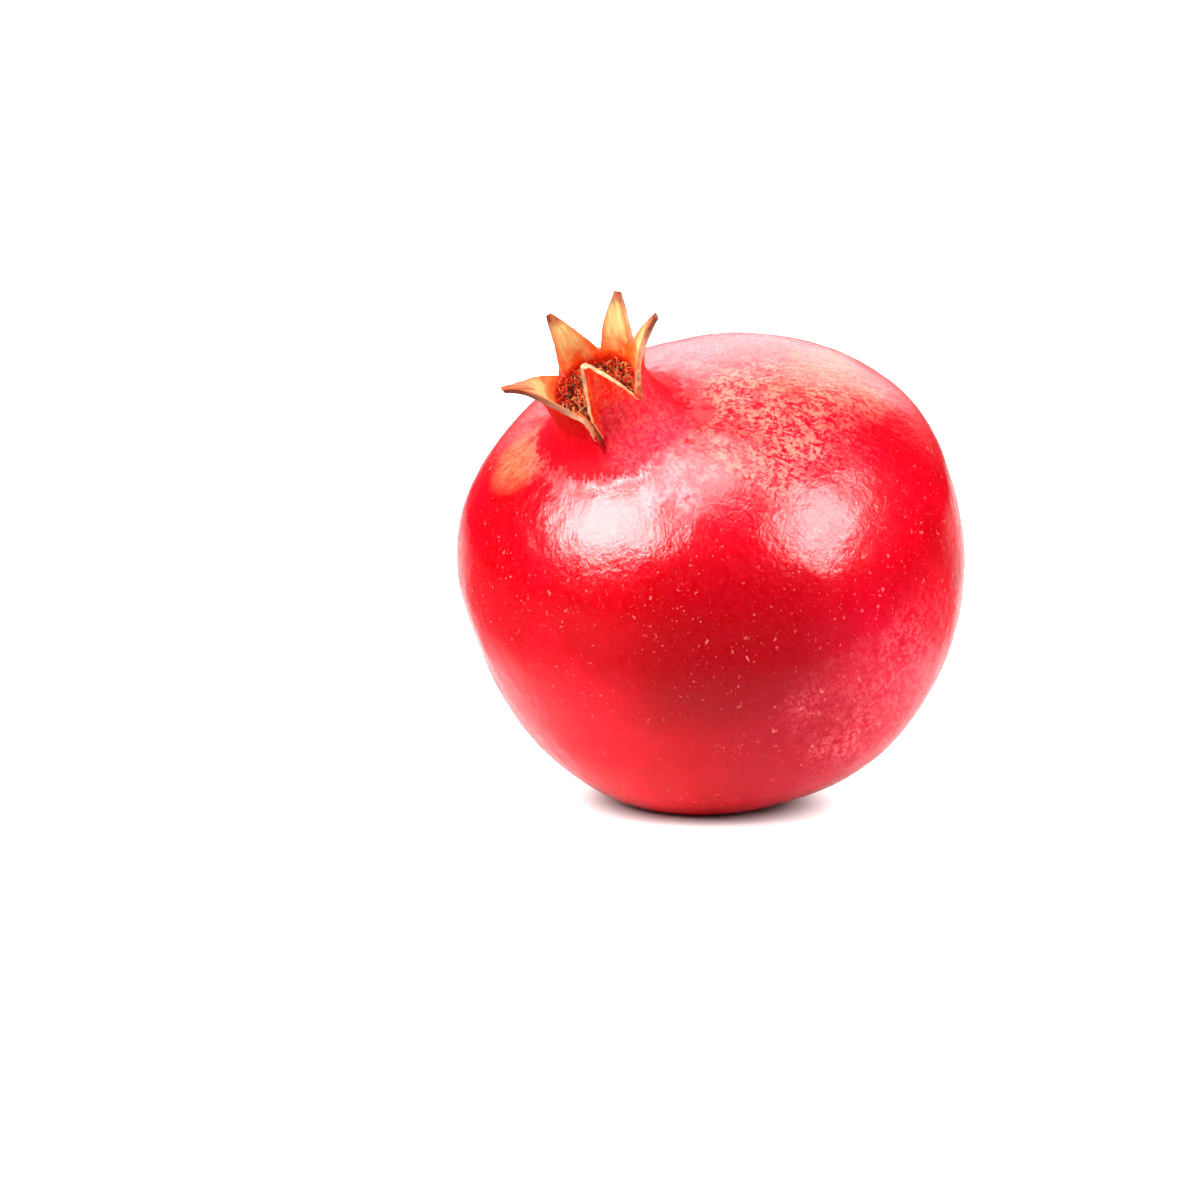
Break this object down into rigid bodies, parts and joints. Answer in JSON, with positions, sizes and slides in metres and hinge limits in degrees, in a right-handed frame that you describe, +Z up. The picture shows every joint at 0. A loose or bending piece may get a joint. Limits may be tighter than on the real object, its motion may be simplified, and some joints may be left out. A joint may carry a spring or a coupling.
{
  "type": "pomegranate",
  "caption": "Whole fresh pomegranate lying on the flattened side of its rind, with a five-lobed crown that leans to one side and dried stamens in it.",
  "frame": {"origin": "middle of the flat spot on the rind that the fruit lies on", "axes": "+Z up, away from the surface that the fruit lies on; the crown leans towards -X and -Y, and seen along +Y it points up to the left and towards the viewer"},
  "size_m": [0.0943, 0.0926, 0.0981],
  "materials": {
    "rind": "smooth leathery skin with a soft gloss, crimson with paler speckles, orange inside the crown",
    "dried_stamens": "dry matt tan threads",
    "stem_wood": "dry grey-brown bark with a pale cut end"
  },
  "bodies": {
    "root": {"fruit": "rind", "stamens": "dried_stamens", "stem_stub": "stem_wood"}
  },
  "joints": []
}
